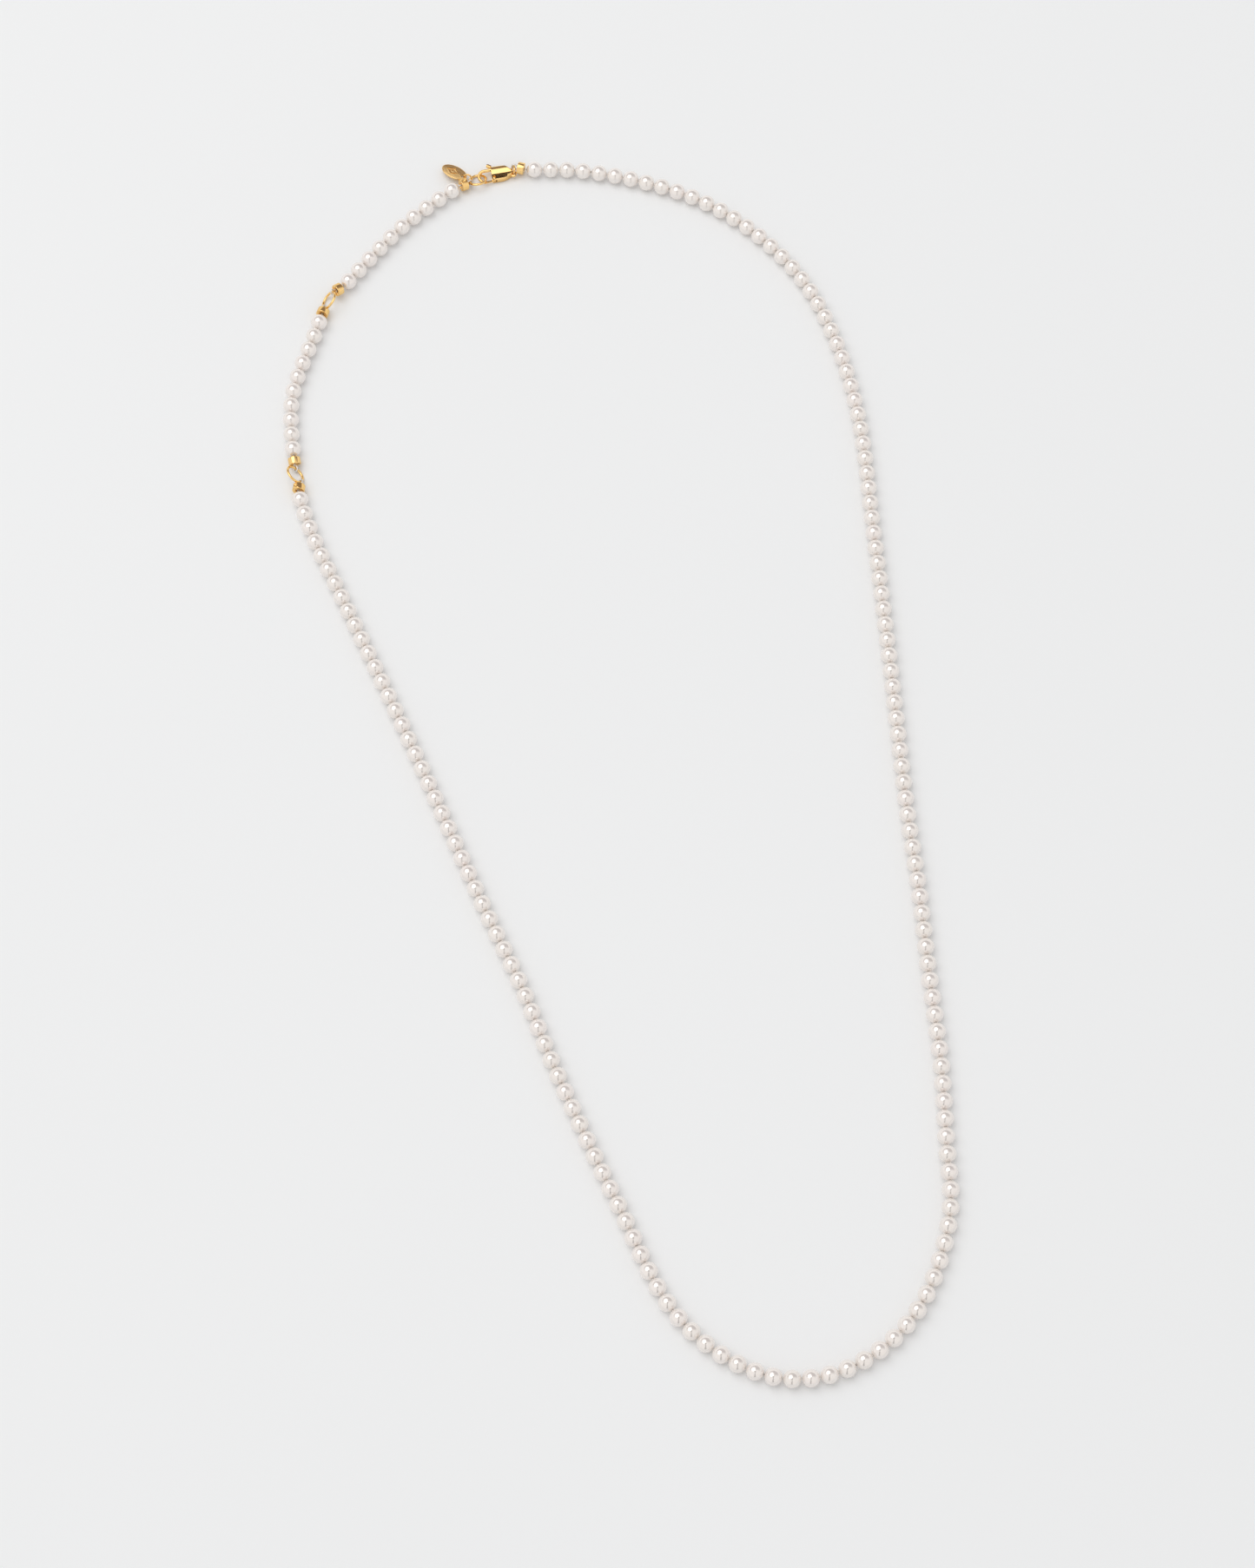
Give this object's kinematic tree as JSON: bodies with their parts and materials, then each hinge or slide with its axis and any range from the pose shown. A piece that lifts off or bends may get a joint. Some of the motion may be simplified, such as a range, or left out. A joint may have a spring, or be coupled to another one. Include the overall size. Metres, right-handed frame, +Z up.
{
  "type": "pearl necklace",
  "caption": "Long adjustable necklace of small round white pearls with gold-coloured barrel crimps, connector rings, lobster clasp and an oval charm tag.",
  "frame": {"origin": "on the table, under the middle of the necklace's bounding box as it lies closed", "axes": "+Z up from the table; +Y from the necklace's low bend toward its clasp; +X to the right as seen from above with the clasp at the far side"},
  "size_m": [0.1576, 0.3144, 0.004],
  "materials": {
    "pearl": "high-lustre nacre, white with a faint cream and rose cast",
    "gold": "polished yellow gold with light handling marks",
    "gold_tag": "satin yellow gold with a polished edge and an engraved lozenge",
    "gold_screw": "turned yellow gold, slightly duller than the barrels",
    "silver_wire": "fine twisted beading wire, silver grey",
    "spring_steel": "plain leaf spring"
  },
  "bodies": {
    "clasp": {"clasp_body": "gold", "clasp_rivet": "gold", "clasp_spring": "spring_steel"},
    "lever": {"clasp_lever": "gold"},
    "tail_ring": {"jump_ring": "gold"},
    "end_barrel_right": {"crimp_6": "gold", "screw_6": "gold_screw", "wire_c": "silver_wire"},
    "run_c01": {"pearls_c01": "pearl"},
    "run_c02": {"pearls_c02": "pearl"},
    "run_c03": {"pearls_c03": "pearl"},
    "run_c04": {"pearls_c04": "pearl"},
    "run_c05": {"pearls_c05": "pearl"},
    "run_c06": {"pearls_c06": "pearl"},
    "run_c07": {"pearls_c07": "pearl"},
    "run_c08": {"pearls_c08": "pearl"},
    "run_c09": {"pearls_c09": "pearl"},
    "run_c10": {"pearls_c10": "pearl"},
    "run_c11": {"pearls_c11": "pearl"},
    "run_c12": {"pearls_c12": "pearl"},
    "run_c13": {"pearls_c13": "pearl"},
    "run_c14": {"pearls_c14": "pearl"},
    "run_c15": {"pearls_c15": "pearl"},
    "run_c16": {"pearls_c16": "pearl"},
    "run_c17": {"pearls_c17": "pearl"},
    "run_c18": {"pearls_c18": "pearl"},
    "run_c19": {"pearls_c19": "pearl"},
    "end_ring": {"end_ring": "gold"},
    "tag_ring": {"tag_ring": "gold"},
    "tag": {"tag": "gold_tag"},
    "end_barrel_left": {"crimp_1": "gold", "screw_1": "gold_screw", "wire_a": "silver_wire"},
    "run_a1": {"pearls_a1": "pearl"},
    "run_a2": {"pearls_a2": "pearl"},
    "barrel_2": {"crimp_2": "gold", "screw_2": "gold_screw"},
    "link_1": {"link_1": "gold"},
    "barrel_3": {"crimp_3": "gold", "screw_3": "gold_screw", "wire_b": "silver_wire"},
    "run_b1": {"pearls_b1": "pearl"},
    "run_b2": {"pearls_b2": "pearl"},
    "barrel_4": {"crimp_4": "gold", "screw_4": "gold_screw"},
    "link_2": {"link_2": "gold"},
    "barrel_5": {"crimp_5": "gold", "screw_5": "gold_screw"},
    "run_c31": {"pearls_c31": "pearl"},
    "run_c30": {"pearls_c30": "pearl"},
    "run_c29": {"pearls_c29": "pearl"},
    "run_c28": {"pearls_c28": "pearl"},
    "run_c27": {"pearls_c27": "pearl"},
    "run_c26": {"pearls_c26": "pearl"},
    "run_c25": {"pearls_c25": "pearl"},
    "run_c24": {"pearls_c24": "pearl"},
    "run_c23": {"pearls_c23": "pearl"},
    "run_c22": {"pearls_c22": "pearl"},
    "run_c21": {"pearls_c21": "pearl"},
    "run_c20": {"pearls_c20": "pearl"}
  },
  "joints": [
    {"name": "lever_pivot", "type": "hinge", "parent": "clasp", "child": "lever", "pos_m": [-0.02817, 0.15269, 0.00093], "axis": [0, 0, 1], "range_deg": [-16, 0], "stiffness_Nm_per_rad": 0.002, "springref_deg": 14.32, "deforming": ["clasp_spring", "wire_a", "wire_b", "wire_c"]},
    {"name": "tail_ring_swing", "type": "hinge", "parent": "clasp", "child": "tail_ring", "pos_m": [-0.02339, 0.1541, 0.0012], "axis": [0, 0, 1], "range_deg": [0, 12]},
    {"name": "barrel_6_swing", "type": "hinge", "parent": "tail_ring", "child": "end_barrel_right", "pos_m": [-0.02314, 0.15561, 0.00211], "axis": [0.2602, -0.8924, 0.3686], "range_deg": [0, 20]},
    {"name": "bend_c01", "type": "hinge", "parent": "end_barrel_right", "child": "run_c01", "pos_m": [-0.02005, 0.15483, 0.002], "axis": [0, 0, 1], "range_deg": [0, 20]},
    {"name": "bend_c02", "type": "hinge", "parent": "run_c01", "child": "run_c02", "pos_m": [-0.00368, 0.15401, 0.002], "axis": [0.2557, 0.9668, 0], "range_deg": [-20, 20]},
    {"name": "bend_c03", "type": "hinge", "parent": "run_c02", "child": "run_c03", "pos_m": [0.01613, 0.14877, 0.002], "axis": [0, 0, -1], "range_deg": [-20, 0]},
    {"name": "bend_c04", "type": "hinge", "parent": "run_c03", "child": "run_c04", "pos_m": [0.03393, 0.13875, 0.002], "axis": [-0.7317, -0.6817, 0], "range_deg": [-20, 20]},
    {"name": "bend_c05", "type": "hinge", "parent": "run_c04", "child": "run_c05", "pos_m": [0.04787, 0.12378, 0.002], "axis": [0, 0, 1], "range_deg": [0, 20]},
    {"name": "bend_c06", "type": "hinge", "parent": "run_c05", "child": "run_c06", "pos_m": [0.05655, 0.10526, 0.002], "axis": [0.9709, 0.2395, 0], "range_deg": [-20, 20]},
    {"name": "bend_c07", "type": "hinge", "parent": "run_c06", "child": "run_c07", "pos_m": [0.06146, 0.08536, 0.002], "axis": [0, 0, -1], "range_deg": [-20, 0]},
    {"name": "bend_c08", "type": "hinge", "parent": "run_c07", "child": "run_c08", "pos_m": [0.06365, 0.06496, 0.002], "axis": [-0.9971, -0.0759, 0], "range_deg": [-20, 20]},
    {"name": "bend_c09", "type": "hinge", "parent": "run_c08", "child": "run_c09", "pos_m": [0.06521, 0.0445, 0.002], "axis": [0, 0, 1], "range_deg": [0, 20]},
    {"name": "bend_c10", "type": "hinge", "parent": "run_c09", "child": "run_c10", "pos_m": [0.06687, 0.02405, 0.002], "axis": [0.9974, 0.0726, 0], "range_deg": [-20, 20]},
    {"name": "bend_c11", "type": "hinge", "parent": "run_c10", "child": "run_c11", "pos_m": [0.06836, 0.00358, 0.002], "axis": [0, 0, -1], "range_deg": [-20, 0]},
    {"name": "bend_c12", "type": "hinge", "parent": "run_c11", "child": "run_c12", "pos_m": [0.06983, -0.01688, 0.002], "axis": [-0.995, -0.0998, 0], "range_deg": [-20, 20]},
    {"name": "bend_c13", "type": "hinge", "parent": "run_c12", "child": "run_c13", "pos_m": [0.07188, -0.0373, 0.002], "axis": [0, 0, 1], "range_deg": [0, 20]},
    {"name": "bend_c14", "type": "hinge", "parent": "run_c13", "child": "run_c14", "pos_m": [0.0735, -0.05775, 0.002], "axis": [0.9957, 0.0923, 0], "range_deg": [-20, 20]},
    {"name": "bend_c15", "type": "hinge", "parent": "run_c14", "child": "run_c15", "pos_m": [0.07539, -0.07818, 0.002], "axis": [0, 0, -1], "range_deg": [-20, 0]},
    {"name": "bend_c16", "type": "hinge", "parent": "run_c15", "child": "run_c16", "pos_m": [0.07621, -0.09868, 0.002], "axis": [-1, -0.0077, 0], "range_deg": [-20, 20]},
    {"name": "bend_c17", "type": "hinge", "parent": "run_c16", "child": "run_c17", "pos_m": [0.07636, -0.11915, 0.002], "axis": [0, 0, 1], "range_deg": [0, 20]},
    {"name": "bend_c18", "type": "hinge", "parent": "run_c17", "child": "run_c18", "pos_m": [0.06971, -0.13845, 0.002], "axis": [0.6809, -0.7324, 0], "range_deg": [-20, 20]},
    {"name": "bend_c19", "type": "hinge", "parent": "run_c18", "child": "run_c19", "pos_m": [0.05488, -0.15224, 0.002], "axis": [0, 0, -1], "range_deg": [-20, 0]},
    {"name": "end_ring_swing", "type": "hinge", "parent": "clasp", "child": "end_ring", "pos_m": [-0.03202, 0.15289, 0.00142], "axis": [-0.1826, 0.9756, 0.1219], "range_deg": [-20, 0]},
    {"name": "tag_ring_swing", "type": "hinge", "parent": "end_ring", "child": "tag_ring", "pos_m": [-0.03443, 0.15253, 0.00093], "axis": [-0.2307, -0.8986, 0.3731], "range_deg": [-20, 20]},
    {"name": "tag_swing", "type": "hinge", "parent": "tag_ring", "child": "tag", "pos_m": [-0.03614, 0.15323, 0.0013], "axis": [-0.2575, -0.4333, -0.8637], "range_deg": [-5, 20]},
    {"name": "barrel_1_swing", "type": "hinge", "parent": "end_ring", "child": "end_barrel_left", "pos_m": [-0.03429, 0.15129, 0.0015], "axis": [0.4129, -0.8101, 0.4162], "range_deg": [-10, 0]},
    {"name": "bend_a1", "type": "hinge", "parent": "end_barrel_left", "child": "run_a1", "pos_m": [-0.0372, 0.14988, 0.002], "axis": [0, 0, -1], "range_deg": [0, 20]},
    {"name": "bend_a2", "type": "hinge", "parent": "run_a1", "child": "run_a2", "pos_m": [-0.05252, 0.13641, 0.002], "axis": [0.7844, -0.6203, 0], "range_deg": [-20, 20]},
    {"name": "bend_barrel_2", "type": "hinge", "parent": "run_a2", "child": "barrel_2", "pos_m": [-0.0652, 0.12038, 0.002], "axis": [0, 0, 1], "range_deg": [-20, 0]},
    {"name": "link_1_swing", "type": "hinge", "parent": "barrel_2", "child": "link_1", "pos_m": [-0.06759, 0.11851, 0.00266], "axis": [-0.5202, 0.5046, -0.689], "range_deg": [-20, 20]},
    {"name": "barrel_3_swing", "type": "hinge", "parent": "link_1", "child": "barrel_3", "pos_m": [-0.06967, 0.11461, 0.00138], "axis": [0.5202, -0.5046, 0.689], "range_deg": [-20, 20]},
    {"name": "bend_b1", "type": "hinge", "parent": "barrel_3", "child": "run_b1", "pos_m": [-0.07035, 0.11213, 0.002], "axis": [-0.9591, 0.283, 0], "range_deg": [-10, 20]},
    {"name": "bend_b2", "type": "hinge", "parent": "run_b1", "child": "run_b2", "pos_m": [-0.07611, 0.09261, 0.002], "axis": [0, 0, -1], "range_deg": [0, 20]},
    {"name": "bend_barrel_4", "type": "hinge", "parent": "run_b2", "child": "barrel_4", "pos_m": [-0.0757, 0.07238, 0.002], "axis": [0.9998, 0.0202, 0], "range_deg": [-20, 12]},
    {"name": "link_2_swing", "type": "hinge", "parent": "barrel_4", "child": "link_2", "pos_m": [-0.07513, 0.06936, 0.00117], "axis": [-0.7288, 0.2338, 0.6436], "range_deg": [-20, 20]},
    {"name": "barrel_5_swing", "type": "hinge", "parent": "link_2", "child": "barrel_5", "pos_m": [-0.07384, 0.06532, 0.00161], "axis": [0.5031, 0.4764, -0.7211], "range_deg": [-20, 20]},
    {"name": "bend_c31", "type": "hinge", "parent": "barrel_5", "child": "run_c31", "pos_m": [-0.0742, 0.06238, 0.002], "axis": [0, 0, -1], "range_deg": [0, 20]},
    {"name": "bend_c30", "type": "hinge", "parent": "run_c31", "child": "run_c30", "pos_m": [-0.06702, 0.04319, 0.002], "axis": [0.9076, 0.4199, 0], "range_deg": [-20, 20]},
    {"name": "bend_c29", "type": "hinge", "parent": "run_c30", "child": "run_c29", "pos_m": [-0.0584, 0.02457, 0.002], "axis": [0, 0, 1], "range_deg": [-20, 0]},
    {"name": "bend_c28", "type": "hinge", "parent": "run_c29", "child": "run_c28", "pos_m": [-0.04986, 0.00591, 0.002], "axis": [-0.9147, -0.4041, 0], "range_deg": [-20, 20]},
    {"name": "bend_c27", "type": "hinge", "parent": "run_c28", "child": "run_c27", "pos_m": [-0.04157, -0.01286, 0.002], "axis": [0, 0, -1], "range_deg": [0, 20]},
    {"name": "bend_c26", "type": "hinge", "parent": "run_c27", "child": "run_c26", "pos_m": [-0.03344, -0.0317, 0.002], "axis": [0.9157, 0.4018, 0], "range_deg": [-20, 20]},
    {"name": "bend_c25", "type": "hinge", "parent": "run_c26", "child": "run_c25", "pos_m": [-0.0252, -0.05049, 0.002], "axis": [0, 0, 1], "range_deg": [-20, 0]},
    {"name": "bend_c24", "type": "hinge", "parent": "run_c25", "child": "run_c24", "pos_m": [-0.01682, -0.06922, 0.002], "axis": [-0.9291, -0.3698, 0], "range_deg": [-20, 20]},
    {"name": "bend_c23", "type": "hinge", "parent": "run_c24", "child": "run_c23", "pos_m": [-0.00923, -0.08828, 0.002], "axis": [0, 0, -1], "range_deg": [0, 20]},
    {"name": "bend_c22", "type": "hinge", "parent": "run_c23", "child": "run_c22", "pos_m": [-0.00091, -0.10704, 0.002], "axis": [0.9101, 0.4143, 0], "range_deg": [-20, 20]},
    {"name": "bend_c21", "type": "hinge", "parent": "run_c22", "child": "run_c21", "pos_m": [0.0076, -0.12571, 0.002], "axis": [0, 0, 1], "range_deg": [-20, 0]},
    {"name": "bend_c20", "type": "hinge", "parent": "run_c21", "child": "run_c20", "pos_m": [0.01794, -0.14332, 0.002], "axis": [-0.5436, -0.8393, 0], "range_deg": [-20, 20]}
  ]
}
